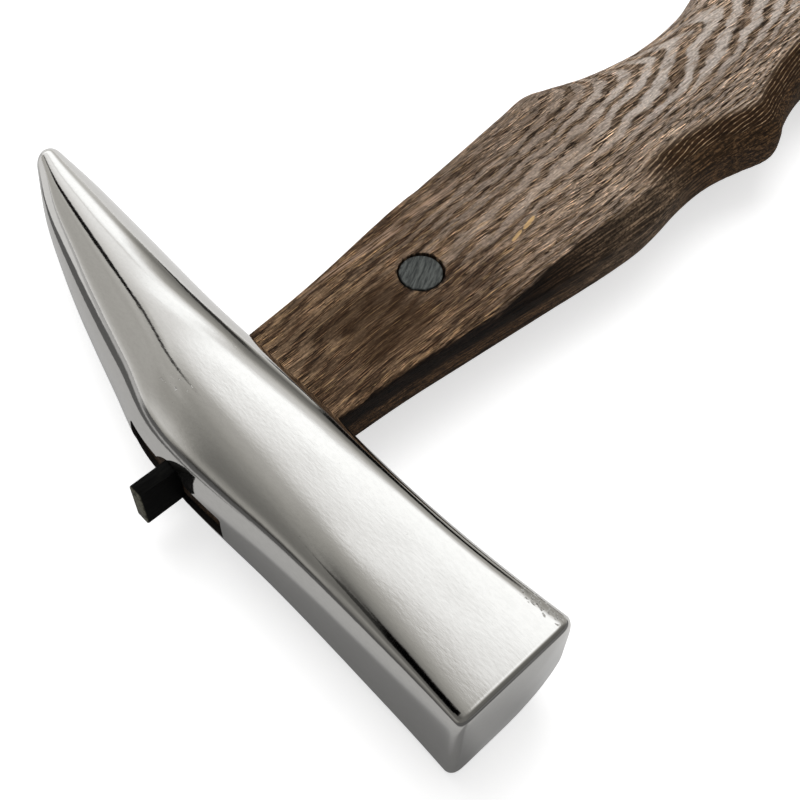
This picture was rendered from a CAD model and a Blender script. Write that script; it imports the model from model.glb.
"""Looks for the sheet metal hammer: polished head, charred and brushed handle, wedge and dowel.

Everything is in metres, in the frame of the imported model. The pieces are first worked out in
millimetres, like the part's own source, and scaled once when their mesh is written.
"""

import math

import bmesh
import bpy
import numpy as np
from bpy.props import FloatProperty, FloatVectorProperty, IntProperty, PointerProperty
from mathutils import Matrix, Vector


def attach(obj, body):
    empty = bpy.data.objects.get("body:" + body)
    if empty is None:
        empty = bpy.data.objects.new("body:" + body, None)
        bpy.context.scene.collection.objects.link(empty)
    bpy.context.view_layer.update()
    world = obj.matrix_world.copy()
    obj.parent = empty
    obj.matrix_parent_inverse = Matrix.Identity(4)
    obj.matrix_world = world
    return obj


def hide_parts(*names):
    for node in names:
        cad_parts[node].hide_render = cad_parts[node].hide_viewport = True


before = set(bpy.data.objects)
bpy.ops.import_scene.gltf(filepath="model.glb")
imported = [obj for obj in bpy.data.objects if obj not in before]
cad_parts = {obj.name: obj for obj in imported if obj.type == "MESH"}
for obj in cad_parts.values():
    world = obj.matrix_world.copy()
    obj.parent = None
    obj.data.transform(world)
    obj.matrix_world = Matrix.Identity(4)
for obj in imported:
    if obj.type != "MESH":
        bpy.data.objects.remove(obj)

bl_info = {
    "name": "Sheet Metal Hammer",
    "version": (1, 0, 0),
    "blender": (4, 5, 0),
    "location": "View3D > Sidebar > Hammer",
    "description": "Builds the finished pieces of a sheet metal hammer round its packed model",
    "category": "Object",
}

MM = 0.001
BODY = "root"
MID_HEIGHT = 12.0

# How finely curves are sampled, and the counts of points and rings
CURVE_STEP = 0.25
OVAL_POINTS = 1440
HEAD_POINTS = 184
HANDLE_POINTS = 232
BAR_SIDES = 72
FINE_BAR_SIDES = 96
DOME_RINGS = 11
FACE_EDGE_RINGS = 10
CROWN_RINGS = 14
BUTT_EDGE_RINGS = 8
SLOT_CORNER_POINTS = 7
TONGUE_POINTS = 33

# The head in millimetres, as in the part's source
FACE_REACH = 64.0
FACE_DROP = 1.4
FACE_HEIGHT = 24.6
FACE_EDGE = 1.6
FACE_CROWN = 0.35
WAIST_HEIGHT = 23.1
EYE_HEIGHT = 26.0
PICK_REACH = 75.4
PICK_DROOP = 13.1
PICK_TIP_RADIUS = 2.9
PICK_TIP_LENGTH = 3.0
TIP_TRIM = 0.1
TIP_START = 0.35
TIP_DROOP = 0.264
ROUND_HALF = 12.35
CHEEK_SOFTNESS = 0.22
WORN_REACHES = (20.0, 40.0, 55.0, 64.0)
WORN_RADII = (0.5, 2.5, 7.5, 14.5)
CORNER_WEAR = 1.75
CORNER_REACH = 4.0
CORNER_SOFTNESS = 0.1
# Rows of place, drop, height and breadth as shares, then how square the back and the belly are
PICK_SHARES = (
    (0.8, 0.757, 0.46, 0.49, 2, 2),
    (0.66, 0.581, 0.599, 0.67, 2, 2.05),
    (0.53, 0.428, 0.708, 0.81, 2, 2.15),
    (0.4, 0.29, 0.797, 0.91, 2, 2.3),
    (0.265, 0.154, 0.883, 0.97, 2, 2.6),
    (0.13, 0.032, 0.983, 1, 2.05, 3),
)
SHANK_SHARES = (
    (0.16, -0.06, 1.09, 1, 2.5, 4.2),
    (0.33, -0.014, 1.024, 1, 3, 5),
    (0.5, 0.05, 0.989, 1, 3.8, 6),
    (0.7, 0.3, 0.994, 1, 5.2, 6.5),
    (0.88, 0.68, 1.025, 1, 7.5, 7),
)

# Ranges of x and y in which the steel is nicked, and the noise above which it is
NICKED = (((54.5, 62.8), (9.5, 12.5), 0.55), ((-11.0, -3.0), (-8.0, -2.5), 0.66))
NICKED_HEIGHT = (20.0, 21.0)
NICK_DEPTH = 24.0

# The eye
SLOT_AT_BACK = 25.0
SLOT_AT_BELLY = 20.6
SLOT_WIDTH = 6.0
SLOT_CORNER = 0.6
BORE_RADIUS = 4.8

# The handle
HANDLE_REACH = 280.0
NECK_HALF = 11.9
NECK_THICKNESS = 9.8
GRIP_THICKNESS = 18.0
BUTT_THICKNESS = 21.0
BUTT_EDGE = 3.5
SWELL_REACH = 89.0
FINGER_CREST = 20.2
FINGER_VALLEY = 14.2
FINGER_PITCH = 37.2
PALM_CREST = 20.6
PALM_VALLEY = 14.4
PALM_PITCH = 62.0
# Places along the handle and how far each side stands out there, up to the first full wave
FINGER_START = (
    (26.7, 12.6), (40, 13.88), (59.6, 15.93), (78.5, 18.05), (84, 18.3), (89.5, 17.9),
    (96.5, 17.0), (104.5, 16.8), (110, 17.55), (115, 18.85), (122.3, 20.4), (126, 18.5),
    (133, 15.9), (139.6, 14.5), (145.5, 14.2), (154.5, 16.9), (163.4, 20.2),
)
PALM_START = (
    (26.7, 12.9), (40, 14.65), (50, 16.2), (60, 17.8), (66, 18.4), (72.5, 19.1), (79, 19.85),
    (85, 20.5), (92.5, 21.2), (95.5, 20.2), (99.6, 18.6), (104, 17.0), (110, 15.6),
    (118, 14.5), (133, 15.8), (143.6, 19.0), (151, 20.6),
)
# How far along a wave and how far down from its crest each point lies
FINGER_WAVE_SHARES = ((0.18, 0.5), (0.36, 0.93), (0.52, 1), (0.76, 0.55))
PALM_WAVE_SHARES = ((0.07, 0.15), (0.21, 0.6), (0.47, 1), (0.71, 0.8), (0.88, 0.3))
# How thick and how square the handle is at shares of the swell's reach
THICKNESS_SHARES = ((0.45, 0.15), (0.67, 0.34), (1, 0.68), (1.4, 0.92), (2, 1))
SQUARE_SHARES = ((0.3, 11), (0.67, 7), (0.88, 4.6), (1.1, 3.3), (1.5, 2.7), (2, 2.5))
# Where each side's ridge stands, as a share of the side, at places along the handle
RIDGE_SHARES = (
    (13, 1), (40, 0.985), (47, 0.97), (54, 0.93), (62, 0.85), (71, 0.79), (90, 0.78),
    (105, 0.83), (120, 0.865), (270, 0.87), (280, 0.9),
)
SLOPE_FOOT = 0.4
NECK_SIDE_SHARE = 0.965
NECK_POWER = 12.0
BUTT_POWER = 2.5
TONGUE_RECESS = 1.1
# Each chip's place, half breadth and half length
CHIPS = ((4.45, 66.2, 0.42, 1.9), (5.05, 62.4, 0.36, 1.7))
CHIP_SKEW = 0.2
RING_BOW_PLACE = -1.0
RING_BOW_SPREAD = 3.0
NECK_TO_GRIP = (38.0, 88.0)
GRIP_START = (84.0, 98.0)
BRUSHED_FROM = (45.0, 80.0)
BARE_GAIN = (2.1, 2.0, 1.85)
# Inputs of the grain's node tree and their kinds
GRAIN_INPUTS = {
    "Geometry": "Geometry", "Ring Pitch": "Float", "Ring Tilt": "Float", "Ring Lean": "Float",
    "Ring Bow": "Float", "Warp": "Float", "Relief": "Float", "Seed": "Int", "Material": "Material",
}

# The wedge and the dowel
WEDGE_THICKNESS = 2.8
WEDGE_TIP = 1.2
WEDGE_BREADTH = 8.8
WEDGE_PROUD = 6.5
WEDGE_DEPTH = 19.0
DOWEL_PLACE = (-1.0, 44.2)
DOWEL_RADIUS = 4.0
DOWEL_SET = 0.15
# The dowel's rounded edge as shares of its radius, inwards and down
DOWEL_EDGE = ((1, 0), (0.62, 0.08), (0.29, 0.29), (0.08, 0.62), (0, 1))
SEAT_GAP = 0.3
CUT_OVERRUN = 2.0
SHOULDER = EYE_HEIGHT / 2 + SEAT_GAP

# Cards and edges of the set in millimetres, as the steel sees them on the floor
CARD_MIDDLE = -92.0
CARD_BEND = 0.0017
CARD_BREADTH = 2.5
CARD_SPREAD = 0.5
CARD_END = (-80.0, -110.0)
FAR_EDGE = (-100.0, -150.0)
FACE_EDGE_OF_SET = (84.0, 100.0)
FOOT_SLOPE = -0.15
FOOT_EDGE = (-28.0, -23.0)
FOOT_DEPTH = 0.42
BESIDE_DEPTH = 0.85
WHITE_GAIN = 0.45
WHITE = (1.0, 1.0, 1.0)

# The soft lamp in metres, and the tent
KEY_PLACE = (-0.45, 0.35, 1.0)
KEY_TARGET = (0.0, 0.04, 0.0)
KEY_SIZE = 1.0
TENT_FOOT = -0.02
TENT_TOP = 0.97 * math.pi / 2
TENT_RINGS = 25
LINE_START = 0.03
SCREEN_GAMMA = 2.2

# The photograph's camera in millimetres, found by fitting the outline
CAMERA_PLACE = (95.218, -55.529, 186.653)
CAMERA_RIGHT = (0.685036, 0.728295, 0.017657)
CAMERA_FORWARD = (-0.390119, 0.387200, -0.835394)
CAMERA_LENS = 55.1
CAMERA_SENSOR = 36.0


# Curves and rings

def through(rows):
    """The part's smooth curve through rows of a place and its values. Its slope at each place is
    the mean of the slopes on both sides."""
    table = np.array(rows, dtype=float)
    at, values = table[:, 0], table[:, 1:]
    slopes = np.diff(values, axis=0) / np.diff(at)[:, None]
    leans = (np.vstack((slopes[:1], slopes)) + np.vstack((slopes, slopes[-1:]))) / 2

    def evaluate(places):
        left = np.clip(np.searchsorted(at, places, side="right") - 1, 0, len(at) - 2)
        span = (at[left + 1] - at[left])[:, None]
        p = np.clip((places - at[left])[:, None] / span, 0, 1)
        bend = (1 - p) * leans[left] - p * leans[left + 1]
        rise = values[left + 1] - values[left]
        return values[left] + p * p * (3 - 2 * p) * rise + p * (1 - p) * span * bend

    return evaluate


def smoothed(rows, first, last, spread):
    """The curve through rows, sampled finely and blurred by a bell of the given spread, so that
    gloss runs true."""
    at = np.arange(first, last + CURVE_STEP / 2, CURVE_STEP)
    reach = int(3 * spread / CURVE_STEP)
    bell = np.exp(-0.5 * (np.arange(-reach, reach + 1) * CURVE_STEP / spread) ** 2)
    bell /= bell.sum()
    columns = [np.convolve(np.pad(column, reach, "reflect", reflect_type="odd"), bell, "valid")
               for column in through(rows)(at).T]

    def evaluate(places):
        places = np.atleast_1d(places)
        return np.stack([np.interp(places, at, column) for column in columns], axis=1)

    return evaluate


def signed_power(value, power):
    return np.sign(value) * np.abs(value) ** power


def even_places(first, last, step):
    return np.linspace(first, last, math.ceil((last - first) / step) + 1)


def round_the_clock(count):
    return np.linspace(0, 2 * math.pi, count, endpoint=False)


def oval(sides, half, powers):
    """Points of a squared oval, with its own reach and squareness to either side."""
    angle = round_the_clock(OVAL_POINTS)
    second = (np.cos(angle) >= 0).astype(int)
    power = 2 / np.take(powers, second)
    return (np.take(sides, second) * signed_power(np.cos(angle), power),
            half * signed_power(np.sin(angle), power))


def rounded_edge(start, radius, count):
    """Places and insets of the rings that carry an edge round to an end."""
    turns = np.linspace(0, math.pi / 2, count + 1)[1:]
    return zip(start + radius * np.sin(turns), radius * (1 - np.cos(turns)))


def evened(loop, count):
    """A closed loop of points resampled to an even spacing."""
    closed = np.vstack((loop, loop[:1]))
    run = np.concatenate(([0.0], np.cumsum(np.linalg.norm(np.diff(closed, axis=0), axis=1))))
    at = np.linspace(0.0, run[-1], count, endpoint=False)
    return np.stack([np.interp(at, run, closed[:, k]) for k in range(closed.shape[1])], axis=1)


def soft_limit(value, limit, softness):
    """Value held under a limit on both sides, with a soft shoulder."""
    size = np.abs(value)
    held = -softness * np.logaddexp(-size / softness, -limit / softness)
    return np.sign(value) * np.maximum(held, 0.0)


# Meshes

def placed(name, data):
    """A new object in the scene."""
    thing = bpy.data.objects.new(name, data)
    bpy.context.scene.collection.objects.link(thing)
    return thing


def mesh_object(name, points, faces):
    """A mesh from points in millimetres."""
    mesh = bpy.data.meshes.new(name)
    mesh.from_pydata((np.asarray(points) * MM).tolist(), [], faces)
    mesh.validate()
    mesh.update()
    return placed(name, mesh)


def loft(name, rings):
    """A closed skin over rings with equal point counts, with a fan at each end."""
    rings = np.asarray(rings)
    total, count = rings.shape[:2]
    points = np.vstack((rings.reshape(-1, 3), rings[0].mean(axis=0), rings[-1].mean(axis=0)))
    near = total * count
    last = near - count
    steps = [(i, (i + 1) % count) for i in range(count)]
    faces = [(base + i, base + j, base + count + j, base + count + i)
             for base in range(0, last, count) for i, j in steps]
    for i, j in steps:
        faces += [(near, j, i), (near + 1, last + i, last + j)]
    thing = mesh_object(name, points, faces)
    solid = bmesh.new()
    solid.from_mesh(thing.data)
    if solid.calc_volume(signed=True) < 0:
        thing.data.flip_normals()
    solid.free()
    return thing


def cut(target, cutter, operation="DIFFERENCE"):
    """Joins or cuts the target with another solid, which is used up."""
    modifier = target.modifiers.new("cut", "BOOLEAN")
    modifier.operation = operation
    modifier.solver = "EXACT"
    modifier.object = cutter
    flatten(target)
    bpy.data.objects.remove(cutter)


def flatten(thing):
    """Turns an object's modifiers into its own plain mesh."""
    bpy.context.view_layer.update()
    depsgraph = bpy.context.evaluated_depsgraph_get()
    plain = bpy.data.meshes.new_from_object(thing.evaluated_get(depsgraph))
    thing.modifiers.clear()
    old = thing.data
    thing.data = plain
    plain.name = thing.name
    bpy.data.meshes.remove(old)


def smooth(thing, angle):
    """Smooth shading, with edges sharper than the angle in degrees left crisp."""
    thing.data.shade_smooth()
    thing.data.set_sharp_from_angle(angle=math.radians(angle))


def finished(thing, node):
    """Hands a finished piece to the frame in place of the CAD node it stands for."""
    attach(thing, BODY)
    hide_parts(node)


# Node trees

class Signal:
    """A value that runs through a node tree and takes part in plain arithmetic."""

    def __init__(self, graph, socket):
        self.graph = graph
        self.socket = socket

    def __add__(self, other):
        return self.graph.math("ADD", self, other)

    def __sub__(self, other):
        return self.graph.math("SUBTRACT", self, other)

    def __rsub__(self, other):
        return self.graph.math("SUBTRACT", other, self)

    def __mul__(self, other):
        return self.graph.math("MULTIPLY", self, other)

    def __truediv__(self, other):
        return self.graph.math("DIVIDE", self, other)

    def __pow__(self, other):
        return self.graph.math("POWER", self, other)

    def __abs__(self):
        return self.graph.math("ABSOLUTE", self)


class Graph:
    """Adds nodes to a tree and feeds plain values or signals into them."""

    def __init__(self, tree):
        self.tree = tree

    def node(self, kind, inputs=None, **settings):
        made = self.tree.nodes.new(kind)
        for name, value in settings.items():
            setattr(made, name, value)
        for key, value in (inputs or {}).items():
            self.feed(made.inputs[key], value)
        return made

    def feed(self, socket, value):
        if isinstance(value, Signal):
            self.tree.links.new(value.socket, socket)
        elif socket.type == "RGBA":
            socket.default_value = (*value[:3], 1.0)
        else:
            socket.default_value = value

    def read(self, kind, output, inputs=None, **settings):
        """Adds a node and gives one of its outputs."""
        return Signal(self, self.node(kind, inputs, **settings).outputs[output])

    def outputs(self, kind, inputs=None):
        """Adds a node and gives all its outputs by name."""
        made = self.node(kind, inputs)
        return {socket.name: Signal(self, socket) for socket in made.outputs if socket.name}

    def math(self, operation, *values):
        return self.read("ShaderNodeMath", 0, dict(enumerate(values)), operation=operation)

    def vector(self, operation, *values):
        return self.read("ShaderNodeVectorMath", 0, dict(enumerate(values)), operation=operation)

    def largest(self, first, *others):
        for other in others:
            first = self.math("MAXIMUM", first, other)
        return first

    def split(self, place):
        return self.outputs("ShaderNodeSeparateXYZ", {0: place}).values()

    def join(self, *parts):
        return self.read("ShaderNodeCombineXYZ", 0, dict(enumerate(parts)))

    def in_mm(self, place, stretch=(1.0, 1.0, 1.0)):
        """A place in millimetres, each way scaled by a share."""
        return self.vector("MULTIPLY", place, tuple(share / MM for share in stretch))

    def noise(self, place, detail=2.0, roughness=0.5, scale=1.0):
        return self.read("ShaderNodeTexNoise", "Fac", {
            "Vector": place, "Scale": scale, "Detail": detail, "Roughness": roughness,
        })

    def grain(self, place, stretch, detail=2.0, roughness=0.5):
        """Noise whose grains per millimetre each way are the stretch."""
        return self.noise(self.in_mm(place, stretch), detail, roughness)

    def band(self, value, low, high, to_low=0.0, to_high=1.0):
        """Value carried smoothly from one range to another."""
        return self.read("ShaderNodeMapRange", "Result", {
            "Value": value, "From Min": low, "From Max": high, "To Min": to_low,
            "To Max": to_high,
        }, interpolation_type="SMOOTHSTEP")

    def fade(self, value, low, high, start=1.0):
        """The start up to low, eased to 0 at high."""
        return self.band(value, low, high, start, 0.0)

    def blend(self, factor, a, b, mode="MIX"):
        return self.read("ShaderNodeMix", 2, {0: factor, 6: a, 7: b}, data_type="RGBA",
                         blend_type=mode)

    def multiplied(self, a, b):
        return self.blend(1.0, a, b, "MULTIPLY")

    def ramp(self, value, stops):
        """Colours at places between 0 and 1, where a plain number stands for a grey."""
        made = self.node("ShaderNodeValToRGB", {"Fac": value})
        elements = made.color_ramp.elements
        while len(elements) < len(stops):
            elements.new(0.5)
        for element, (place, colour) in zip(elements, stops):
            element.position = place
            element.color = (*np.broadcast_to(colour, 3).tolist(), 1.0)
        return Signal(self, made.outputs["Color"])

    def bump(self, depth, height, **under):
        """A normal from a height whose unit is the depth in millimetres."""
        return self.read("ShaderNodeBump", "Normal", {
            "Strength": 1.0, "Distance": depth * MM, "Height": height, **under,
        })

    def surface(self, inputs):
        """Ends a material in a shader with these inputs."""
        shader = self.read("ShaderNodeBsdfPrincipled", "BSDF", inputs)
        self.node("ShaderNodeOutputMaterial", {"Surface": shader})


def emptied(owner):
    """The graph of a material's or world's own node tree, emptied."""
    owner.use_nodes = True
    owner.node_tree.nodes.clear()
    return Graph(owner.node_tree)


def new_material(name):
    """An empty material, its graph and the place on the piece."""
    material = bpy.data.materials.new(name)
    graph = emptied(material)
    return material, graph, graph.read("ShaderNodeTexCoord", "Object")


# The head

def section_rows(shares, reach, middle, height):
    return [(along * reach, droop * middle, high * height / 2, half * ROUND_HALF, *powers)
            for along, droop, high, half, *powers in shares]


HEAD = smoothed(
    [(PICK_TIP_LENGTH - PICK_REACH, PICK_DROOP, PICK_TIP_RADIUS, PICK_TIP_RADIUS, 2, 2)]
    + section_rows(PICK_SHARES, -PICK_REACH, PICK_DROOP, EYE_HEIGHT)
    + [(0, 0, EYE_HEIGHT / 2, ROUND_HALF, 2.2, 3.5)]
    + section_rows(SHANK_SHARES, FACE_REACH, FACE_DROP, WAIST_HEIGHT)
    + [(FACE_REACH, FACE_DROP, FACE_HEIGHT / 2, ROUND_HALF, 11, 7)],
    PICK_TIP_LENGTH - PICK_REACH, FACE_REACH, spread=2.2)


def head_ring(x, section_x, inset=0.0, shrink=1.0):
    """One ring of the head, rounder on the back than on the belly, soft-edged at the cheeks."""
    middle, height, half, back, belly = HEAD(section_x)[0]
    height = (height - inset) * shrink
    y, z = oval((height, height), (half - inset) * shrink, (back, belly))
    limit = (MID_HEIGHT - inset) * shrink
    z = soft_limit(z, limit, CHEEK_SOFTNESS * shrink)
    radius = max(float(np.interp(section_x, WORN_REACHES, WORN_RADII)) - inset, 0.2) * shrink
    y, z = evened(worn_corner(y, z, height, limit, radius), HEAD_POINTS).T
    return np.column_stack((np.full(HEAD_POINTS, x), middle + y, MID_HEIGHT + z))


def worn_corner(y, z, corner_y, corner_z, radius):
    """Points of a section, with those outside an arc in its lower belly corner drawn in to it."""
    off_y = y - (corner_y - radius)
    off_z = -z - (corner_z - radius)
    size = np.hypot(off_y, off_z)
    outside = (off_y > 0) & (off_z > 0) & (size > radius)
    excess = np.where(outside, 1 - radius / np.maximum(size, 0.001), 0.0)
    return np.stack((y - off_y * excess, z + off_z * excess), axis=1)


def head_rings():
    dome_base = PICK_TIP_LENGTH - PICK_REACH
    rings = []
    for turn in np.linspace(math.pi / 2, TIP_START, DOME_RINGS + 2)[1:-1]:
        rise = (math.sin(turn) - math.sin(TIP_START)) / (1 - math.sin(TIP_START))
        reach = (PICK_TIP_LENGTH - TIP_TRIM) * rise
        ring = head_ring(dome_base - reach, dome_base, 0.0, math.cos(turn) / math.cos(TIP_START))
        ring[:, 1] += TIP_DROOP * reach
        rings.append(ring)
    edge_start = FACE_REACH - FACE_CROWN - FACE_EDGE
    rings += [head_ring(x, x) for x in even_places(dome_base, edge_start, step=0.8)]
    belly = rings[-1][:, 1].max()
    for x, inset in rounded_edge(edge_start, FACE_EDGE, FACE_EDGE_RINGS):
        rings.append(head_ring(x, edge_start, inset))
    for width in np.linspace(0.97, 0.2, CROWN_RINGS):
        rise = math.cos(math.pi / 2 * max(0.0, width - 0.3) / 0.7)
        x = FACE_REACH - FACE_CROWN * (1 - rise)
        rings.append(head_ring(x, edge_start, FACE_EDGE, width))
    for ring in rings:
        into = min(1.0, 1 - (FACE_REACH - FACE_CROWN - ring[0, 0]) / CORNER_REACH)
        if into > 0:
            # points near the belly are eased under a limit that curves in towards the face
            limit = belly - CORNER_WEAR * (1 - math.sqrt(1 - into ** 2))
            under = np.logaddexp(0.0, (limit - ring[:, 1]) / CORNER_SOFTNESS)
            ring[:, 1] = limit - CORNER_SOFTNESS * under
    return rings


def belly_at(x, z):
    """Where the head's belly lies at a place along it and off its middle plane."""
    middle, height, half, _, belly = HEAD(x).T
    return middle + height * (1 - (np.abs(z) / half) ** belly) ** (1 / belly)


def back_at(x):
    middle, height = HEAD(x).T[:2]
    return middle - height


def slot_ring(y):
    """One ring of the slot, a rectangle with rounded corners square to the handle's axis."""
    half = (SLOT_AT_BACK + (SLOT_AT_BELLY - SLOT_AT_BACK) * (y / EYE_HEIGHT + 0.5)) / 2
    points = []
    for quarter, (side_x, side_z) in enumerate(((1, 1), (-1, 1), (-1, -1), (1, -1))):
        for angle in math.pi / 2 * (quarter + np.linspace(0, 1, SLOT_CORNER_POINTS)):
            x = side_x * (half - SLOT_CORNER) + SLOT_CORNER * math.cos(angle)
            z = side_z * (SLOT_WIDTH / 2 - SLOT_CORNER) + SLOT_CORNER * math.sin(angle)
            points.append((x, y, MID_HEIGHT + z))
    return points


def tube(name, centre, radii, along, axis, sides=BAR_SIDES):
    """A closed round bar with its own radius at each place along an axis."""
    turn = round_the_clock(sides)
    rings = []
    for radius, place in zip(radii, along):
        columns = [centre[0] + radius * np.cos(turn), centre[1] + radius * np.sin(turn)]
        columns.insert(axis, np.full(sides, place))
        rings.append(np.column_stack(columns))
    return loft(name, rings)


def make_head(settings):
    head = loft("head_forging", head_rings())
    reach = EYE_HEIGHT / 2 + CUT_OVERRUN
    slot = loft("slot_cutter", [slot_ring(reach), slot_ring(-reach)])
    bore = tube("bore_cutter", (0, MID_HEIGHT), (BORE_RADIUS, BORE_RADIUS), (-reach, reach), 1)
    materials = steel_material(settings), scale_material(settings)
    for solid in (head, slot, bore):
        for material in materials:
            solid.data.materials.append(material)
    for cutter in (slot, bore):
        cutter.data.polygons.foreach_set("material_index", [1] * len(cutter.data.polygons))
        cut(head, cutter)
    smooth(head, angle=40)
    finished(head, "hammer_head")


def steel_material(settings):
    """Bright ground steel: fine lines along the head, faint pits and marks, nicks in two edges."""
    material, graph, place = new_material("polished_steel")
    lines = graph.grain(place, (0.35, 5.0, 5.0), 3.0, 0.6)
    marks = graph.grain(place, (0.9, 2.2, 2.2), 3.0, 0.55)
    wander = graph.grain(place, (0.05, 0.09, 0.09), 1.0)
    pits = graph.band(graph.grain(place, (1.3, 1.7, 1.7)), 0.74, 0.8)
    height = lines * 0.35 + marks
    x, y, z = graph.split(graph.in_mm(place))
    rough = graph.grain(place, (1.1, 2.0, 1.5), 3.0)
    for x_range, y_range, level in NICKED:
        zone = graph.band(z, *NICKED_HEIGHT)
        for way, (low, high) in ((x, x_range), (y, y_range)):
            zone = zone * graph.band(way, low, low + 1.0) * graph.fade(way, high - 1.0, high)
        height = height - graph.band(rough, level, level + 0.12) * zone * NICK_DEPTH
    fine = graph.bump(settings.line_depth, height)
    graph.surface({
        "Base Color": graph.blend(graph.band(marks, 0.35, 0.7), settings.steel,
                                  [part * 0.96 for part in settings.steel]),
        "Metallic": 1.0, "Roughness": pits * 0.2 + (marks * settings.haze + settings.polish),
        "Normal": graph.bump(settings.wander_depth, wander, Normal=fine),
    })
    return material


def scale_material(settings):
    """Forge scale left on the walls of the eye."""
    material, graph, place = new_material("forge_scale")
    flecks = graph.grain(place, (1.2, 1.2, 1.2), 4.0)
    graph.surface({
        "Base Color": graph.blend(flecks, settings.scale_dark, settings.scale_light),
        "Metallic": 0.3, "Roughness": 0.7, "Normal": graph.bump(0.05, flecks),
    })
    return material


# The handle

def side_rows(start, pitch, shares, crest, valley):
    """Rows of one side of the handle, which ends in full waves past the butt."""
    first = start[-1][0]
    return [(SHOULDER, NECK_HALF), *start] + [
        (first + (wave + along) * pitch, crest + down * (valley - crest))
        for wave in range(math.ceil((HANDLE_REACH - first) / pitch))
        for along, down in (*shares, (1, 0))
    ]


FINGER_SIDE = smoothed(
    side_rows(FINGER_START, FINGER_PITCH, FINGER_WAVE_SHARES, FINGER_CREST, FINGER_VALLEY),
    SHOULDER, HANDLE_REACH, spread=0.5)
PALM_SIDE = smoothed(
    side_rows(PALM_START, PALM_PITCH, PALM_WAVE_SHARES, PALM_CREST, PALM_VALLEY),
    SHOULDER, HANDLE_REACH, spread=0.5)
THICKNESS = smoothed(
    [(SHOULDER, NECK_THICKNESS)]
    + [(reach * SWELL_REACH, NECK_THICKNESS + growth * (GRIP_THICKNESS - NECK_THICKNESS))
       for reach, growth in THICKNESS_SHARES]
    + [(HANDLE_REACH, BUTT_THICKNESS)], SHOULDER, HANDLE_REACH, spread=2.5)
SQUARENESS = smoothed(
    [(SHOULDER, NECK_POWER)]
    + [(reach * SWELL_REACH, power) for reach, power in SQUARE_SHARES]
    + [(HANDLE_REACH, BUTT_POWER)], SHOULDER, HANDLE_REACH, spread=2.5)
RIDGE = smoothed(RIDGE_SHARES, 0.0, HANDLE_REACH, spread=1.5)


def handle_ring(y, section_y, inset=0.0):
    """One ring of the handle, with a flat slope from each ridge down to the side. The finger
    side's lower edge stays round, as its outline shows."""
    sides = np.array((PALM_SIDE(section_y)[0, 0], FINGER_SIDE(section_y)[0, 0])) - inset
    half = THICKNESS(section_y)[0, 0] / 2 - inset
    power = SQUARENESS(section_y)[0, 0]
    ridge = RIDGE(section_y)[0, 0]
    x, z = oval(sides, half, (power, power))
    share = np.abs(x) / np.where(x < 0, *sides)
    ridge_height = half * (1 - ridge ** power) ** (1 / power)
    foot = half * SLOPE_FOOT
    slope = foot + (ridge_height - foot) * (1 - share) / max(1 - ridge, 0.001)
    sloped = (share > ridge) & ((x < 0) | (z > 0))
    z = np.where(sloped, np.sign(z) * np.minimum(slope, np.abs(z)), z)
    x, z = evened(np.stack((x, z), axis=1), HANDLE_POINTS).T
    return np.column_stack((x, np.full(HANDLE_POINTS, y), MID_HEIGHT + z))


def mark_ridge(handle):
    """Stores how far each point lies past the ridge of its side, in millimetres."""
    mesh = handle.data
    co = np.zeros(len(mesh.vertices) * 3)
    mesh.vertices.foreach_get("co", co)
    x, y = co.reshape(-1, 3).T[:2] / MM
    side = np.where(x < 0, PALM_SIDE(y)[:, 0], FINGER_SIDE(y)[:, 0])
    past = np.abs(x) - np.minimum(RIDGE(y)[:, 0], NECK_SIDE_SHARE) * side
    attribute = mesh.attributes.new("past_ridge", "FLOAT", "POINT")
    attribute.data.foreach_set("value", past.astype(np.float32))


def handle_rings():
    edge_start = HANDLE_REACH - BUTT_EDGE
    scribed = handle_ring(SHOULDER, SHOULDER)
    scribed[:, 1] = belly_at(scribed[:, 0], scribed[:, 2] - MID_HEIGHT) + SEAT_GAP
    rings = [scribed]
    rings += [handle_ring(y, y) for y in even_places(SHOULDER + 0.8, edge_start, step=1.0)]
    rings += [handle_ring(y, edge_start, inset)
              for y, inset in rounded_edge(edge_start, BUTT_EDGE, BUTT_EDGE_RINGS)]
    return rings[::-1]


def prism(name, outline, breadth):
    """A flat outline in x and y given breadth round the middle plane."""
    return loft(name, [[(x, y, MID_HEIGHT + side * breadth) for x, y in outline]
                       for side in (-0.5, 0.5)])


def tongue():
    root = SHOULDER + CUT_OVERRUN
    half = SLOT_AT_BACK / 2 - SEAT_GAP
    foot = SLOT_AT_BELLY / 2 - SEAT_GAP
    across = np.linspace(half, -half, TONGUE_POINTS)
    end = zip(across, back_at(across) + TONGUE_RECESS)
    return prism("tongue", [(foot, root), *end, (-foot, root)], SLOT_WIDTH - 2 * SEAT_GAP)


def wedge_outline(margin):
    back = float(back_at(0.0)[0])
    tip = back + WEDGE_DEPTH
    wide, thin = WEDGE_THICKNESS / 2 + margin, WEDGE_TIP / 2 + margin
    return [(-wide, back - WEDGE_PROUD - margin), (wide, back - WEDGE_PROUD - margin), (wide, back),
            (thin, tip + margin), (-thin, tip + margin), (-wide, back)]


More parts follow.
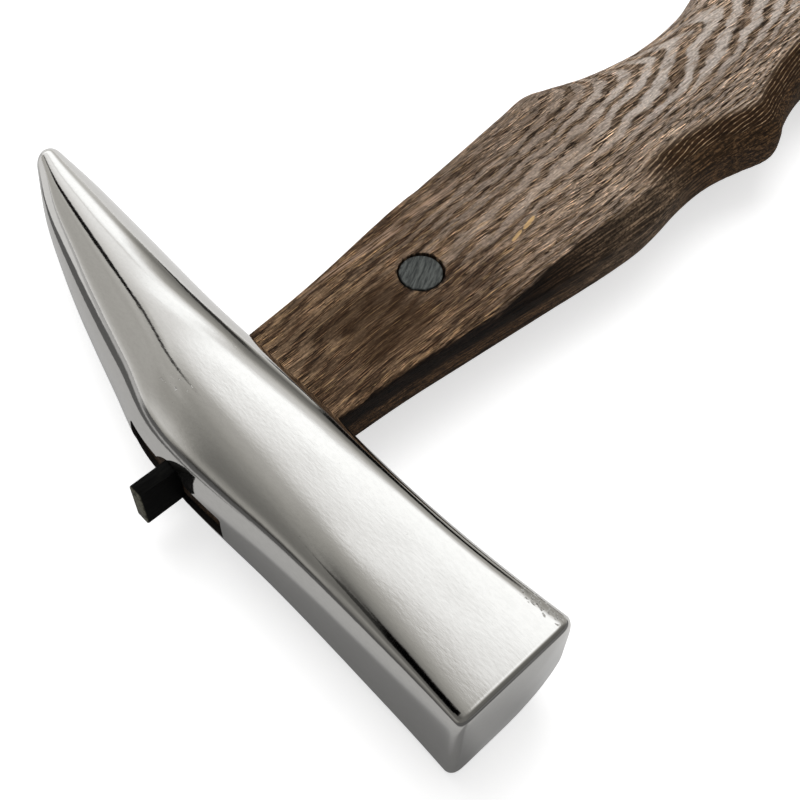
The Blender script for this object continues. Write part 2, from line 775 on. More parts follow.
def make_handle(settings):
    handle = loft("handle_wood", handle_rings())
    cut(handle, tongue(), "UNION")
    cut(handle, prism("kerf", wedge_outline(SEAT_GAP), SLOT_WIDTH + CUT_OVERRUN))
    reach = NECK_THICKNESS / 2 + CUT_OVERRUN + 1.0
    hole = tube("dowel_hole", DOWEL_PLACE, (DOWEL_RADIUS + SEAT_GAP,) * 2,
                (MID_HEIGHT - reach, MID_HEIGHT + reach), 2)
    cut(handle, hole)
    mark_ridge(handle)
    modifier = handle.modifiers.new("brushed_grain", "NODES")
    modifier.node_group = grain_tree()
    for item in modifier.node_group.interface.items_tree:
        if item.name == "Material":
            modifier[item.identifier] = wood_material(settings)
        elif item.name != "Geometry":
            modifier[item.identifier] = getattr(settings, item.name.lower().replace(" ", "_"))
    flatten(handle)
    smooth(handle, angle=42)
    finished(handle, "handle")


def grain_tree():
    """Geometry Nodes tree that lays the growth rings through the wood and brushes them out."""
    tree = bpy.data.node_groups.new("brushed_grain", "GeometryNodeTree")
    for name, kind in GRAIN_INPUTS.items():
        tree.interface.new_socket(name, in_out="INPUT", socket_type="NodeSocket" + kind)
    tree.interface.new_socket("Geometry", in_out="OUTPUT", socket_type="NodeSocketGeometry")
    graph = Graph(tree)
    given = graph.outputs("NodeGroupInput")

    def scaled(vector, by):
        return graph.read("ShaderNodeVectorMath", 0, {0: vector, "Scale": by}, operation="SCALE")

    place = scaled(graph.read("GeometryNodeInputPosition", 0), 1 / MM)
    x, y, z = graph.split(place)
    # rings fall with the thickness, rise along and across the handle, and bow near its middle
    leaning = x * given["Ring Lean"] + (y * given["Ring Tilt"] - z)
    bend = graph.math("ARCTANGENT", (x - RING_BOW_PLACE) / RING_BOW_SPREAD)
    drift = graph.vector("MULTIPLY", place, (0.08, 0.035, 0.05))
    seeded = graph.vector("ADD", drift, graph.join(given["Seed"], given["Seed"]))
    wander = (graph.noise(seeded) - 0.5) * (given["Warp"] * 2.0)
    ring = wander + (leaning - bend * given["Ring Bow"])
    marked = graph.read("GeometryNodeStoreNamedAttribute", "Geometry", {
        "Geometry": given["Geometry"], "Name": "ring_place", "Value": ring,
    }, data_type="FLOAT", domain="POINT")
    # the soft part of each ring is brushed lower, but not on the neck or the narrow sides
    normal = graph.read("GeometryNodeInputNormal", 0)
    _, _, facing = graph.split(normal)
    wave = graph.math("SINE", ring / given["Ring Pitch"] * (2 * math.pi))
    depth = (wave - 1.0) * given["Relief"] * graph.band(abs(facing), 0.3, 0.7)
    depth = depth * graph.band(y, *BRUSHED_FROM)
    moved = graph.read("GeometryNodeSetPosition", "Geometry", {
        "Geometry": marked, "Offset": scaled(normal, depth * (MM / 2)),
    })
    real = graph.read("GeometryNodeRealizeInstances", "Geometry", {"Geometry": moved})
    dressed = graph.read("GeometryNodeSetMaterial", "Geometry", {
        "Geometry": real, "Material": given["Material"],
    })
    graph.node("NodeGroupOutput", {"Geometry": dressed})
    return tree


def wood_material(settings):
    """Charred and brushed hardwood: smooth pale late wood, rough brown early wood, open pores."""
    material, graph, place = new_material("charred_wood")
    band, fade, blend, grain = graph.band, graph.fade, graph.blend, graph.grain
    x, y, z = graph.split(graph.in_mm(place))
    past = graph.read("ShaderNodeAttribute", "Fac", attribute_name="past_ridge")
    # fibres run along the handle, a little askew and wandering
    drift = grain(place, (0.03, 0.025, 0.03), 1.0)
    across = drift * settings.fibre_drift + (y * settings.fibre_skew + x)
    fibre_place = graph.join(across, y, z)

    def strands(width, length, detail=2.0, roughness=0.6, shift=0.0):
        at = graph.vector("ADD", fibre_place, (shift, 0.0, 0.0)) if shift else fibre_place
        return graph.noise(graph.vector("MULTIPLY", at, (1 / width, 1 / length, 1 / width)),
                           detail, roughness)

    # only the finger side is charred past its ridge
    reach = past + band(x, 4.0, -4.0, 0.0, -6.0)
    side = band(strands(0.6, 4.0) * 0.7 + reach, 0.25, 0.6)
    grip = band(y, *NECK_TO_GRIP)
    # towards the near ridge of the grip the soft wood is dark and the rings stand as thin edges
    near = band(past, -5.5, -3.0) * band(y, *GRIP_START) * band(x, -2.0, 4.0)

    # growth rings, with ragged borders and uneven breadth
    ring = graph.read("ShaderNodeAttribute", "Fac", attribute_name="ring_place")
    ragged = strands(0.42, 2.4, 4.0, 0.7) * settings.ragged + ring / settings.ring_pitch
    wavy = grain(place, (0.28, 0.16, 0.28), 1.0) * 0.9 + ragged
    phase = graph.math("FRACT", grain(place, (0.1, 0.06, 0.1), 1.0) * 0.9 + wavy)
    breadth = 0.55 - near * 0.42
    border = 0.2 - near * 0.1
    late = band(phase, 0.0, border) * fade(phase, breadth, breadth + border)
    # late wood shows less where it is worn, next to the ridge and before the grip
    worn = band(x, -13.0, -8.0, 0.4, 1.0) * band(strands(1.4, 7.0), 0.34, 0.5, 0.45, 1.0)
    quiet = graph.largest(fade(past, -5.5, -3.5, 0.7), fade(y, *GRIP_START, 0.6))
    worn = worn * (1.0 - quiet * band(x, 1.0, 5.5))
    broken = near * fade(strands(0.8, 1.5, 1.0), 0.4, 0.55, 0.85)
    late_seen = late * worn * (1.0 - broken) * (grip * 0.55 + 0.45)

    # colours change from the dark neck to the paler grip
    patches = grain(place, (0.16, 0.07, 0.16))
    streaks = band(strands(0.9, 16.0, 3.0), 0.36, 0.66) * band(patches, 0.35, 0.62, 0.35, 1.0)
    neck = blend(streaks, settings.neck_dark, settings.neck_light)
    early = blend(streaks, settings.early_dark, settings.early_light)
    early = blend(near, blend(grip, neck, early), settings.char_brown)
    pale = blend(band(y, 84.0, 108.0), settings.late_tan, settings.late_grey)
    pale = blend(near, pale, settings.ridge_tan)
    wood = blend(late_seen, early, blend(band(y, 28.0, 66.0), settings.neck_tan, pale))
    # burnt blotches on the neck, and a browner far side before the grip
    blotch = fade(grain(place, (0.3, 0.12, 0.3), 3.0), 0.42, 0.56, 0.45) * fade(y, 48.0, 66.0)
    far_side = band(x, 4.0, -7.0) * band(y, 32.0, 48.0) * fade(y, 86.0, 104.0, 0.3)
    wood = blend(graph.largest(blotch, far_side), wood, settings.char_brown)

    # fine fibres and speckles, and lines of bare wood
    fibres = strands(0.18, 9.0, 3.0)
    rough = 1.0 - late_seen * 0.5
    shade = graph.ramp(fibres, ((0.34, 0.38), (0.5, 1.0), (0.66, 1.8)))
    wood = blend(rough, wood, graph.multiplied(wood, shade))
    wood = graph.multiplied(wood, graph.ramp(
        grain(place, (3.2, 1.6, 3.2), 1.0), ((0.36, 0.78), (0.5, 1.0), (0.64, 1.25))))
    gold = band(strands(0.24, 9.0), 0.6, 0.66) * rough * (1.0 - near * 0.7)
    wood = blend(gold * band(y, 40.0, 110.0, 0.7, 0.35), wood, settings.gold)

    # open pores: thin dark dashes with a bare light edge, few in the late wood
    scarce = late_seen * 0.16

    def dashes(width, length, level, shift):
        return band(strands(width, length, 2.0, 0.55, shift) - scarce, level, level + 0.05)

    def pores(shift=0.0):
        return graph.largest(dashes(0.24, 3.0, 0.53, shift) * grip, dashes(0.15, 4.0, 0.55, shift))

    pore = pores()
    bare = pores(settings.edge_shift) * (1.0 - graph.largest(pore, near))
    wood = blend(bare * band(fibres, 0.4, 0.55), wood, graph.multiplied(wood, BARE_GAIN))
    pore = pore * (1.0 - near * 0.6)
    wood = blend(pore * 0.92, wood, settings.pore)
    smoky = band(x, -8.0, -3.0) * fade(x, 7.0, 11.0) * band(y, 20.0, 27.0) * fade(y, 36.0, 43.0)
    wood = blend(smoky * 0.72, wood, settings.char_brown)

    # light lines along the far edge of the neck, and chips of bare wood
    edge = band(x, -10.2, -11.0) * band(x, -12.6, -11.8) * band(y, 22.0, 32.0)
    edge = edge * fade(y, 62.0, 74.0) * band(strands(0.25, 20.0), 0.48, 0.6)
    wood = blend(edge * 0.8, wood, settings.edge_light)
    chip = wood_chip(graph, x, y, z)
    wood = blend(chip, wood, blend(band(fibres, 0.35, 0.6), settings.gold, settings.chip))

    # ragged char round the dowel and on the tongue's end
    seat, far = off_dowel(graph, x, y)
    charred = band(graph.noise(seat, 3.0, scale=1.1) * 2.2 + far, 5.7, 5.3)
    wood = blend(charred * 0.85, wood, settings.char_black)
    wood = blend(band(y, 9.0, 6.0) * 0.75, wood, settings.char_black)

    # the narrow sides are charred, blackest under the near edge of the neck
    high = graph.largest(band(z, 11.0, 13.5), band(z, 9.5, 8.0, 0.0, 0.6))
    brown = blend(band(y, 55.0, 80.0), settings.side_neck, settings.side_brown)
    brown = blend(band(y, 90.0, 104.0), brown, settings.side_grip)
    char = blend(high * fade(y, 52.0, 88.0), brown, settings.char_black)
    char = graph.multiplied(char, graph.ramp(
        strands(0.3, 16.0, 3.0, 0.7), ((0.35, 0.2), (0.5, 0.85), (0.64, 3.2))))
    dots = band(grain(place, (2.8, 2.2, 2.8), 1.0), 0.5, 0.6, 0.0, 0.7)
    wood = blend(side, wood, blend(dots, char, settings.pore))

    relief = late_seen * 0.5 + fibres * 0.6 - pore * 0.8 - chip * 0.7
    graph.surface({
        "Base Color": wood, "Roughness": 0.75 - late_seen * 0.2,
        "Normal": graph.bump(settings.grain_depth, relief), "Specular IOR Level": 0.08,
    })
    return material


def wood_chip(graph, x, y, z):
    """Where slivers have broken out of the upper face past the dowel."""
    ragged = graph.noise(graph.join(x, y), scale=1.6) - 0.5
    share = 0.0
    for chip_x, chip_y, half_breadth, half_length in CHIPS:
        along = y - chip_y
        off = along * CHIP_SKEW + x - chip_x
        reach = abs(off / half_breadth) ** 2.0 + abs(along / half_length) ** 3.0 + ragged
        share = graph.largest(share, graph.fade(reach, 0.8, 1.0))
    return share * graph.band(z, MID_HEIGHT, MID_HEIGHT + 2.0)


def off_dowel(graph, x, y):
    """The way and the distance from the dowel's axis."""
    off = graph.vector("SUBTRACT", graph.join(x, y), (*DOWEL_PLACE, 0.0))
    return off, graph.read("ShaderNodeVectorMath", "Value", {0: off}, operation="LENGTH")


# The wedge

def make_wedge(settings):
    wedge = prism("wedge_black", wedge_outline(0.0), WEDGE_BREADTH)
    bevel = wedge.modifiers.new("worn_edges", "BEVEL")
    bevel.width = settings.edge_wear * MM
    bevel.segments = 3
    bevel.limit_method = "ANGLE"
    bevel.angle_limit = math.radians(30)
    flatten(wedge)
    wedge.data.materials.append(wedge_material(settings))
    smooth(wedge, angle=50)
    finished(wedge, "eye_wedge")


def wedge_material(settings):
    """Black wood, with a bruised olive-grey end where it was driven."""
    material, graph, place = new_material("black_wood")
    fibres = graph.grain(place, (4.0, 0.3, 4.0), 3.0, 0.6)
    dents = graph.grain(place, (1.1, 1.1, 1.1), 3.0)
    _, y, _ = graph.split(graph.in_mm(place))
    end = float(back_at(0.0)[0]) - WEDGE_PROUD
    side = graph.blend(graph.band(fibres, 0.35, 0.7), settings.dark, settings.light)
    worn = graph.blend(graph.band(dents, 0.35, 0.65), settings.end_dark, settings.end_light)
    graph.surface({
        "Base Color": graph.blend(graph.fade(y, end + 0.05, end + 0.35), side, worn),
        "Roughness": fibres * 0.25 + 0.45, "Specular IOR Level": 0.04,
        "Normal": graph.bump(0.06, dents * 0.5 + fibres),
    })
    return material


# The dowel

def make_dowel(settings):
    end = float(THICKNESS(DOWEL_PLACE[1])[0, 0]) / 2 - DOWEL_SET
    edge = settings.edge_round
    upper = [(share * DOWEL_RADIUS, end) for share in (0.3, 0.7)]
    upper += [(DOWEL_RADIUS - edge * inset, end - edge * down) for inset, down in DOWEL_EDGE]
    profile = upper + [(radius, -z) for radius, z in reversed(upper)]
    dowel = tube("dowel_slate", DOWEL_PLACE, [radius for radius, _ in profile],
                 [MID_HEIGHT + z for _, z in profile], 2, FINE_BAR_SIDES)
    dowel.data.materials.append(dowel_material(settings))
    smooth(dowel, angle=50)
    finished(dowel, "neck_dowel")


def dowel_material(settings):
    """Slate-stained end grain with faint lines across it and a worn dark rim."""
    material, graph, place = new_material("slate_wood")
    turned = graph.read("ShaderNodeMapping", "Vector", {
        "Vector": place, "Rotation": (0.0, 0.0, math.radians(-28)),
    })
    lines = graph.grain(turned, (3.0, 0.35, 1.0), 3.0, 0.6)
    dots = graph.grain(place, (3.5, 3.5, 0.4))
    darker, darkest = ([part * share for part in settings.dark] for share in (0.45, 0.2))
    colour = graph.blend(graph.band(lines, 0.3, 0.72), settings.dark, settings.light)
    colour = graph.blend(graph.band(dots, 0.62, 0.75), colour, darker)
    x, y, _ = graph.split(graph.in_mm(place))
    off, far = off_dowel(graph, x, y)
    rim = graph.band(graph.noise(off, 3.0, scale=1.3) * 1.6 + far, 4.45, 4.75)
    colour = graph.blend(rim * 0.85, colour, darkest)
    graph.surface({
        "Base Color": colour, "Roughness": 0.5, "Normal": graph.bump(0.05, lines + dots),
        "Specular IOR Level": 0.25,
    })
    return material


# The stage

def make_stage(settings):
    size = settings.floor_size
    floor = mesh_object("studio_floor", [(-size, -size, 0), (size, -size, 0), (size, size, 0),
                                         (-size, size, 0)], [(0, 1, 2, 3)])
    floor.data.materials.append(floor_material(settings))
    make_tent(settings)
    key = bpy.data.lights.new("soft_key", "AREA")
    key.shape = "RECTANGLE"
    key.size = key.size_y = KEY_SIZE
    key.energy = settings.key_power
    lamp = placed("soft_key", key)
    lamp.location = Vector(KEY_PLACE)
    aim = Vector(KEY_TARGET) - lamp.location
    lamp.rotation_euler = aim.to_track_quat("-Z", "Y").to_euler()
    lamp.visible_glossy = False
    set_world(settings)
    set_camera()


def floor_material(settings):
    """Pale floor that is lifted to white for the eye and keeps the shadow. The steel sees it with
    less lift, with a black and a white card beside the pick and dark round the edges."""
    material, graph, place = new_material("studio_floor")
    band, fade = graph.band, graph.fade
    rays = graph.outputs("ShaderNodeLightPath")
    x, y, _ = graph.split(graph.in_mm(place))
    # the black card's middle bends away from the pick and its breadth grows towards -Y
    away = abs(y)
    middle = away ** 2.0 * CARD_BEND + CARD_MIDDLE
    off = (x - middle) / (away * CARD_SPREAD + CARD_BREADTH)
    along = fade(y, *CARD_END) * fade(y, 0.0, 10.0)
    black = along * band(off, -1.6, -1.2) * fade(off, 1.05, 1.3)
    white = graph.largest(along * band(off, -1.3, -1.7), band(y, 14.0, 26.0))
    white = white + band(y, 200.0, 800.0)
    # dark beyond the set, but for the side that the pick points to
    ratio = x / graph.largest(away, 1.0)
    far = band(y, *FAR_EDGE) * band(ratio, -1.15, -0.9)
    far = graph.largest(far, band(x, *FACE_EDGE_OF_SET))
    # a dark card far along the handle, which the belly mirrors beside the neck
    beside = band(ratio, -0.6, -0.55) * fade(ratio, -0.37, -0.31) * band(y, 100.0, 180.0)
    # the shade close under the head's back
    foot = band(x * FOOT_SLOPE + y, *FOOT_EDGE) * band(y, -2.0, -8.0) * band(x, -5.0, 5.0)
    dark = graph.largest(graph.largest(black, far) * settings.card_depth, beside * BESIDE_DEPTH,
                         foot * FOOT_DEPTH)
    lit = white * (1.0 - beside) * WHITE_GAIN + 1.0
    kept = (1.0 - dark) * lit
    gloss = rays["Is Glossy Ray"]
    unlit = gloss * (1.0 - kept * settings.gloss_share)
    colour = graph.blend(unlit, settings.floor_colour, (0.0, 0.0, 0.0))
    seen = graph.largest(rays["Is Camera Ray"], rays["Is Transmission Ray"])
    lift = seen * settings.floor_lift + gloss * kept * settings.gloss_lift
    both = graph.read("ShaderNodeAddShader", 0, {
        0: graph.read("ShaderNodeBsdfDiffuse", 0, {"Color": colour}),
        1: graph.read("ShaderNodeEmission", 0, {"Color": WHITE, "Strength": lift}),
    })
    graph.node("ShaderNodeOutputMaterial", {"Surface": both})
    return material


# What the polished steel mirrors over the floor. Each row has an angle in degrees, from the -Y
# horizon over the top to the +Y horizon, and how light the steel looks there.
SHANK_BANDS = (
    (0, 0.33), (8, 0.4), (24, 0.5), (36, 0.36), (60, 0.33), (74, 0.32), (82, 0.38), (91, 0.46),
    (97, 0.5), (103, 0.57), (105, 0.62), (106.4, 0.71), (107, 0.78), (107.7, 0.85), (109, 0.9),
    (110.4, 0.98), (120, 1.0), (125, 0.8), (130, 0.63), (140, 0.56), (152, 0.56), (164, 0.56),
    (172, 0.58), (180, 0.62),
)
EYE_BANDS = (
    (0, 0.22), (3, 0.25), (6, 0.42), (9, 0.54), (15, 0.52), (24, 0.42), (30, 0.4), (44, 0.41),
    (58, 0.45), (68, 0.49), (78, 0.51), (90, 0.56), (104, 0.62), (106.6, 0.72), (108.4, 0.82),
    (110, 0.93), (111, 1.0), (116, 1.0), (121, 0.78), (130, 0.7), (143, 0.47), (161, 0.36),
    (172, 0.55), (180, 0.75),
)
ROOT_BANDS = (
    (0, 0.5), (4, 0.6), (10, 0.72), (22, 0.67), (30, 0.61), (38, 0.57), (50, 0.55), (60, 0.56),
    (69, 0.61), (85, 0.6), (94, 0.62), (100, 0.67), (104, 0.76), (109, 0.78), (114, 0.86),
    (117, 0.96), (131, 1.0), (141, 0.84), (149, 0.58), (160, 0.5), (169, 0.42), (176, 0.43),
    (180, 0.6),
)
PICK_BANDS = (
    (0, 0.8), (6, 0.7), (14, 0.63), (26, 0.6), (44, 0.6), (60, 0.61), (72, 0.6), (82, 0.65),
    (90, 0.66), (100, 0.74), (108, 0.78), (116, 0.83), (127, 0.87), (130.5, 0.86), (132.5, 0.76),
    (135, 0.92), (140, 0.98), (153, 1.0), (160, 0.96), (168, 0.7), (174, 0.68), (180, 0.76),
)
FACE_BANDS = (
    (0, 0.36), (90, 0.38), (180, 0.33),
)
# From the pick's side to the face's side, as shares of the tent's radius
BAND_BORDERS = ((-0.75, -0.62), (-0.58, -0.5), (-0.41, -0.33), (0.4, 0.82))
# How warm the tent is at each lightness
TENT_TINT = (
    (0.55, (1.0, 0.985, 0.93)), (0.8, (1.0, 1.0, 1.0)), (0.95, (0.965, 0.985, 1.0)),
)
# Dark lines that slant through the bands. Each has its two ends as a share of the radius, the
# angle there and half its breadth there, then where it fades, and how dark it is.
SLANTED_LINES = (
    ((-0.97, 92.5, 8.0), (-0.74, 91.0, 2.6), (-0.73, -0.69), 0.86),
    ((-0.76, 90.5, 2.6), (-0.52, 99.5, 1.2), (-0.55, -0.5), 0.72),
    ((-0.3, 62.0, 16.0), (-0.2, 78.0, 14.0), (-0.16, -0.04), 0.95),
    ((-0.42, 178.0, 16.0), (-0.3, 152.0, 8.0), (-0.27, -0.24), 0.88),
    ((-0.39, 54.0, 2.0), (-0.34, 59.0, 9.0), (-0.33, -0.29), 0.42),
    ((-0.63, 186.0, 7.0), (-0.52, 165.0, 6.0), (-0.54, -0.5), 0.6),
)


def slanted_line(graph, x, degrees, line):
    """How much light a slanted dark line leaves, 1 away from it."""
    (first, first_angle, first_half), (last, last_angle, last_half), (fade, gone), depth = line

    def between(start, end):
        return graph.read("ShaderNodeMapRange", "Result", {
            "Value": x, "From Min": first, "From Max": last, "To Min": start, "To Max": end,
        })

    reach = abs(degrees - between(first_angle, last_angle)) / between(first_half, last_half)
    grown = graph.band(x, first - LINE_START, first) * graph.fade(x, fade, gone)
    return 1.0 - graph.fade(reach, 0.75, 1.15) * grown * depth


def make_tent(settings):
    """A half round tent that only gloss sees, with the bands that the steel mirrors."""
    turns = np.linspace(TENT_FOOT, TENT_TOP, TENT_RINGS)
    tent = tube("studio_tent", (0, 0), settings.tent_radius * np.cos(turns),
                settings.tent_radius * np.sin(turns), 2, FINE_BAR_SIDES)
    material, graph, place = new_material("studio_tent")
    x, y, z = graph.split(graph.vector("NORMALIZE", place))
    share = graph.math("ARCTAN2", z, y * -1.0) / math.pi
    tables = (PICK_BANDS, ROOT_BANDS, EYE_BANDS, SHANK_BANDS, FACE_BANDS)
    colour, *others = [graph.ramp(share, [(at / 180, level) for at, level in table])
                       for table in tables]
    for border, other in zip(BAND_BORDERS, others):
        colour = graph.blend(graph.band(x, *border), colour, other)
    for line in SLANTED_LINES:
        colour = colour * slanted_line(graph, x, share * 180.0, line)
    # what looks half as light on a screen shines a good deal less than half as bright
    glow = graph.read("ShaderNodeEmission", 0, {
        "Color": graph.ramp(colour, TENT_TINT),
        "Strength": colour ** SCREEN_GAMMA * settings.tent_power,
    })
    graph.node("ShaderNodeOutputMaterial", {"Surface": glow})
    tent.data.materials.append(material)
    for ray in ("camera", "diffuse", "transmission", "shadow", "volume_scatter"):
        setattr(tent, "visible_" + ray, False)


def set_world(settings):
    world = bpy.data.worlds.new("studio_world")
    graph = emptied(world)
    rays = graph.outputs("ShaderNodeLightPath")
    strength = graph.largest(rays["Is Camera Ray"], rays["Is Glossy Ray"],
                             rays["Is Transmission Ray"], settings.world_level)
    background = graph.read("ShaderNodeBackground", 0, {"Color": WHITE, "Strength": strength})
    graph.node("ShaderNodeOutputWorld", {"Surface": background})
    bpy.context.scene.world = world
    bpy.context.scene.view_settings.view_transform = "Standard"


def set_camera():
    lens = bpy.data.cameras.new("photo_camera")
    lens.lens = CAMERA_LENS
    lens.sensor_width = CAMERA_SENSOR
    lens.sensor_fit = "HORIZONTAL"
    lens.clip_start = 5 * MM
    camera = placed("photo_camera", lens)
    right, back = Vector(CAMERA_RIGHT).normalized(), -Vector(CAMERA_FORWARD).normalized()
    turn = Matrix((right, back.cross(right).normalized(), back)).transposed().to_4x4()
    camera.matrix_world = Matrix.Translation(Vector(CAMERA_PLACE) * MM) @ turn
    bpy.context.scene.camera = camera


# Settings

def tone(name, description, default):
    return FloatVectorProperty(name=name, description=description, default=default, min=0.0,
                               max=1.0, size=3, subtype="COLOR")


def number(name, description, default, low=0.0, high=1.0, **more):
    return FloatProperty(name=name, description=description, default=default, min=low,
                         max=high, **more)


class HammerHeadSettings(bpy.types.PropertyGroup):
    """Finish of the forged head"""

    steel: tone("Steel", "Colour of the polished steel", (0.6, 0.588, 0.566))
    scale_dark: tone("Scale dark", "Darkest scale in the eye", (0.006, 0.005, 0.004))
    scale_light: tone("Scale light", "Lightest scale in the eye", (0.03, 0.024, 0.02))
    polish: number("Polish", "Roughness of the best polished steel", 0.04)
    haze: number("Haze", "Roughness that the grinding marks add", 0.05)
    line_depth: number("Line depth", "Depth of the grinding in mm", 0.004, high=0.1, precision=4)
    wander_depth: number("Wander depth", "Depth of the hand ground waves in mm", 0.08)


class HammerHandleSettings(bpy.types.PropertyGroup):
    """Wood of the handle"""

    ring_pitch: number("Ring pitch", "Breadth of one growth ring in mm", 0.5, 0.1, 5.0)
    ring_tilt: number("Ring tilt", "Rise of the rings along the handle", 0.063, -1.0)
    ring_lean: number("Ring lean", "Rise of the rings across the handle", 0.27, -1.0)
    ring_bow: number("Ring bow", "Bow of the rings near the middle in mm", 0.5, high=5.0)
    warp: number("Warp", "Wander of the rings in mm", 0.12, high=5.0)
    ragged: number("Ragged", "How ragged the rings' borders are, in rings", 0.45, high=2.0)
    relief: number("Relief", "Depth brushed out of the soft wood in mm", 0.14)
    grain_depth: number("Grain depth", "Depth of pores and fibres in mm", 0.22)
    fibre_skew: number("Fibre skew", "How far fibres run off the axis", -0.02, -1.0)
    fibre_drift: number("Fibre drift", "Wander of the fibres in mm", 4.0, high=20.0)
    edge_shift: number("Edge shift", "Breadth of the bare edge beside a pore in mm", 0.2, high=2.0)
    seed: IntProperty(name="Seed", description="Seed of the rings' wander", default=7, min=0)
    neck_dark: tone("Neck dark", "Dark wood of the neck", (0.052, 0.03, 0.018))
    neck_light: tone("Neck light", "Light wood of the neck", (0.29, 0.18, 0.104))
    neck_tan: tone("Neck tan", "Rings of the neck", (0.3, 0.2, 0.12))
    early_dark: tone("Early wood dark", "Dark rough wood", (0.165, 0.113, 0.077))
    early_light: tone("Early wood light", "Light rough wood", (0.46, 0.344, 0.254))
    late_grey: tone("Late wood grey", "Smooth grey wood", (0.49, 0.424, 0.372))
    late_tan: tone("Late wood tan", "Smooth tan wood", (0.41, 0.325, 0.26))
    ridge_tan: tone("Ridge tan", "Ring edges at the near ridge", (0.6, 0.4, 0.23))
    gold: tone("Gold", "Wood laid bare by the brush", (0.5, 0.32, 0.16))
    pore: tone("Pore", "Char in the open pores", (0.018, 0.011, 0.007))
    char_black: tone("Char black", "Blackest char of the sides", (0.009, 0.005, 0.003))
    char_brown: tone("Char brown", "Brown char of the handle", (0.036, 0.018, 0.008))
    side_neck: tone("Side neck", "Brown of the neck's sides", (0.075, 0.042, 0.021))
    side_brown: tone("Side brown", "Brown of the handle's sides", (0.13, 0.088, 0.056))
    side_grip: tone("Side grip", "Brown of the grip's sides", (0.075, 0.042, 0.02))
    edge_light: tone("Edge light", "Bare lines at the neck's edge", (0.5, 0.34, 0.24))
    chip: tone("Chip", "Freshly broken wood", (0.75, 0.5, 0.24))


class HammerWedgeSettings(bpy.types.PropertyGroup):
    """Finish of the wedge in the eye"""

    dark: tone("Dark", "Darkest wood of the sides", (0.002, 0.002, 0.002))
    light: tone("Light", "Lightest wood of the sides", (0.006, 0.006, 0.0055))
    end_dark: tone("End dark", "Darkest wood of the driven end", (0.04, 0.039, 0.03))
    end_light: tone("End light", "Lightest wood of the driven end", (0.15, 0.144, 0.11))
    edge_wear: number("Edge wear", "Rounding of the edges in mm", 0.22)


class HammerDowelSettings(bpy.types.PropertyGroup):
    """Finish of the dowel in the neck"""

    dark: tone("Dark", "Darkest stain", (0.018, 0.021, 0.02))
    light: tone("Light", "Lightest stain", (0.1, 0.107, 0.1))
    edge_round: number("Edge", "Rounding of the ends in mm", 0.3)


class HammerStageSettings(bpy.types.PropertyGroup):
    """Floor and light"""

    floor_colour: tone("Floor", "Colour of the floor", (0.8, 0.8, 0.8))
    floor_lift: number("Floor lift", "What makes the lit floor white", 0.6)
    gloss_lift: number("Gloss lift", "What lifts the floor where steel mirrors it", 0.15)
    gloss_share: number("Gloss share", "How much of the floor's own shade gloss keeps", 0.65)
    card_depth: number("Card depth", "How dark the black card and the edges of the set are", 0.76)
    floor_size: number("Floor size", "Half the floor's breadth in mm", 6000.0, 100.0, 20000.0)
    tent_radius: number("Tent radius", "Radius of the tent in mm", 2500.0, 100.0, 20000.0)
    tent_power: number("Tent power", "How brightly its lightest band shines", 1.75, high=100.0)
    key_power: number("Key power", "Power of the soft lamp", 9.0, high=1000.0, unit="POWER")
    world_level: number("World level", "Level of the even light all round", 0.4, high=10.0)


# Operators and panel

class HAMMER_OT_make_head(bpy.types.Operator):
    """Build the forged head with its eye"""

    bl_idname = "hammer.make_head"
    bl_label = "Forge Head"
    bl_options = {"REGISTER", "UNDO"}

    def execute(self, context):
        make_head(context.scene.hammer_head)
        return {"FINISHED"}


class HAMMER_OT_make_handle(bpy.types.Operator):
    """Build the waved handle and brush out its grain"""

    bl_idname = "hammer.make_handle"
    bl_label = "Carve Handle"
    bl_options = {"REGISTER", "UNDO"}

    def execute(self, context):
        make_handle(context.scene.hammer_handle)
        return {"FINISHED"}


class HAMMER_OT_make_wedge(bpy.types.Operator):
    """Build the wedge that spreads the tongue"""

    bl_idname = "hammer.make_wedge"
    bl_label = "Drive Wedge"
    bl_options = {"REGISTER", "UNDO"}

    def execute(self, context):
        make_wedge(context.scene.hammer_wedge)
        return {"FINISHED"}


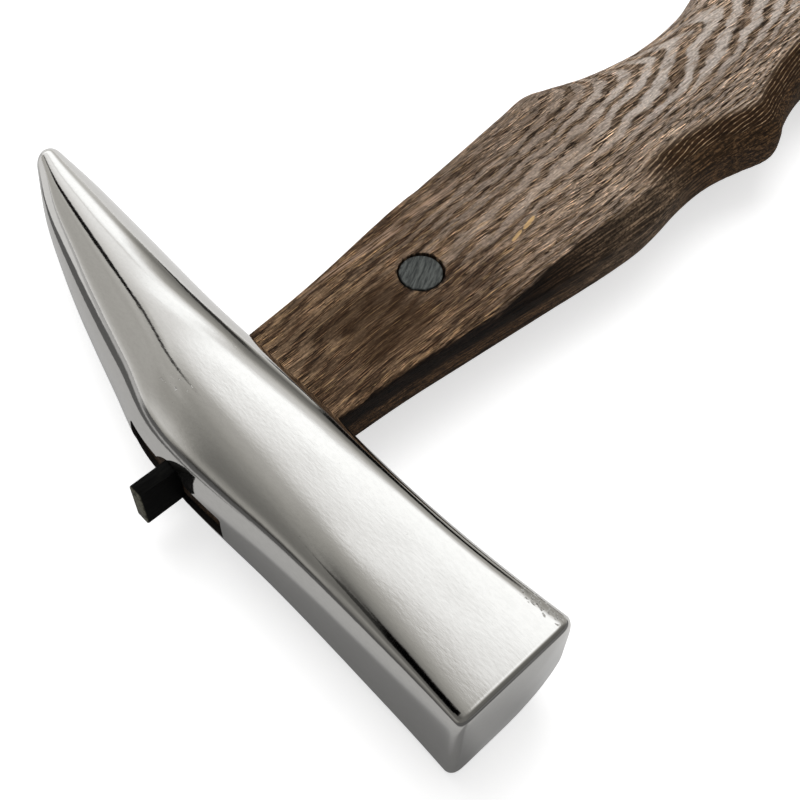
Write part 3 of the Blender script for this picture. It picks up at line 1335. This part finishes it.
class HAMMER_OT_make_dowel(bpy.types.Operator):
    """Build the dowel that crosses the neck"""

    bl_idname = "hammer.make_dowel"
    bl_label = "Set Dowel"
    bl_options = {"REGISTER", "UNDO"}

    def execute(self, context):
        make_dowel(context.scene.hammer_dowel)
        return {"FINISHED"}


class HAMMER_OT_make_stage(bpy.types.Operator):
    """Lay the floor, hang the light and place the camera"""

    bl_idname = "hammer.make_stage"
    bl_label = "Set Stage"
    bl_options = {"REGISTER", "UNDO"}

    def execute(self, context):
        make_stage(context.scene.hammer_stage)
        return {"FINISHED"}


OPERATORS = (HAMMER_OT_make_head, HAMMER_OT_make_handle, HAMMER_OT_make_wedge,
             HAMMER_OT_make_dowel, HAMMER_OT_make_stage)
SETTINGS = {
    "hammer_head": HammerHeadSettings,
    "hammer_handle": HammerHandleSettings,
    "hammer_wedge": HammerWedgeSettings,
    "hammer_dowel": HammerDowelSettings,
    "hammer_stage": HammerStageSettings,
}


class HAMMER_PT_panel(bpy.types.Panel):
    """Steps that build the hammer, with their settings"""

    bl_label = "Sheet Metal Hammer"
    bl_idname = "HAMMER_PT_panel"
    bl_space_type = "VIEW_3D"
    bl_region_type = "UI"
    bl_category = "Hammer"

    def draw(self, context):
        for operator, (name, group) in zip(OPERATORS, SETTINGS.items()):
            box = self.layout.box()
            box.operator(operator.bl_idname)
            settings = getattr(context.scene, name)
            for field in group.__annotations__:
                box.prop(settings, field)


def register():
    for group in SETTINGS.values():
        bpy.utils.register_class(group)
    for name, group in SETTINGS.items():
        setattr(bpy.types.Scene, name, PointerProperty(type=group))
    for operator in OPERATORS:
        bpy.utils.register_class(operator)
    bpy.utils.register_class(HAMMER_PT_panel)


def unregister():
    bpy.utils.unregister_class(HAMMER_PT_panel)
    for operator in reversed(OPERATORS):
        bpy.utils.unregister_class(operator)
    for name in SETTINGS:
        delattr(bpy.types.Scene, name)
    for group in reversed(list(SETTINGS.values())):
        bpy.utils.unregister_class(group)


def main():
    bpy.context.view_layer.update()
    register()
    bpy.ops.hammer.make_stage()
    bpy.ops.hammer.make_head()
    bpy.ops.hammer.make_handle()
    bpy.ops.hammer.make_wedge()
    bpy.ops.hammer.make_dowel()


if __name__ == "__main__":
    main()
